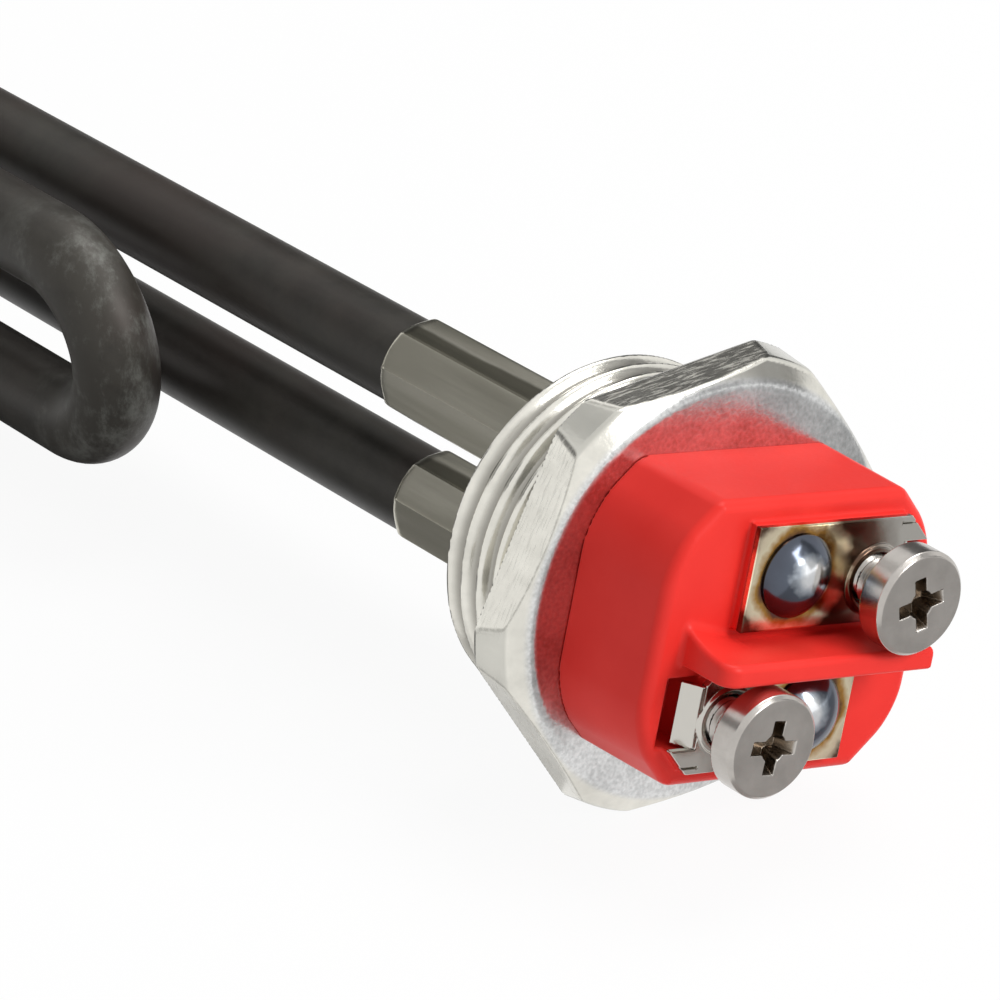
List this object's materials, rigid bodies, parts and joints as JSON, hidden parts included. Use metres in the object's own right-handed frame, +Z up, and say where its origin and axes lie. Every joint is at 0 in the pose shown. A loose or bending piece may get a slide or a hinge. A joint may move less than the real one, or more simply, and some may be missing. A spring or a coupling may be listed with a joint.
{
  "type": "screw plug immersion heater",
  "caption": "Screw-in electric water heater: hexagon plug with a pipe thread, red terminal block with screw terminals, and a folded-back tubular element.",
  "frame": {"origin": "centre of the hexagon's seating face, on the thread's axis", "axes": "+X out of the plug towards the terminals, the element runs along -X; +Z up, with a flat of the hexagon underneath; +Y to the right when the terminals are looked at"},
  "size_m": [0.3543, 0.0442, 0.04],
  "materials": {
    "plated_steel": "zinc plated, satin",
    "red_moulding": "moulded, satin gloss",
    "nickel_plate": "nickel plated, heat tinted",
    "screw_steel": "nickel plated, satin",
    "pin_steel": "polished",
    "sleeve_steel": "nickel plated, crimped",
    "sheath_alloy": "dark oxidised, satin",
    "resistance_wire": "drawn wire",
    "magnesia": "compacted powder",
    "seal_resin": "cured resin",
    "bushing_ceramic": "fired, matt"
  },
  "bodies": {
    "heater": {"screw_plug": "plated_steel", "terminal_block": "red_moulding", "terminal_barrier": "red_moulding", "upper_terminal_plate": "nickel_plate", "lower_terminal_plate": "nickel_plate", "upper_cold_pin": "pin_steel", "lower_cold_pin": "pin_steel", "upper_sleeve": "sleeve_steel", "lower_sleeve": "sleeve_steel", "heater_sheath": "sheath_alloy", "resistance_coil": "resistance_wire", "magnesia_fill": "magnesia", "upper_mouth_seal": "seal_resin", "lower_mouth_seal": "seal_resin", "upper_pin_bushing": "bushing_ceramic", "lower_pin_bushing": "bushing_ceramic"},
    "upper_screw": {"upper_terminal_screw": "screw_steel"},
    "lower_screw": {"lower_terminal_screw": "screw_steel"}
  },
  "joints": [
    {"name": "upper_screw_travel", "type": "slide", "parent": "heater", "child": "upper_screw", "axis": [1, 0, 0], "range_m": [-0.0031, 0.0045]},
    {"name": "lower_screw_travel", "type": "slide", "parent": "heater", "child": "lower_screw", "axis": [1, 0, 0], "range_m": [-0.0031, 0.0045]}
  ]
}
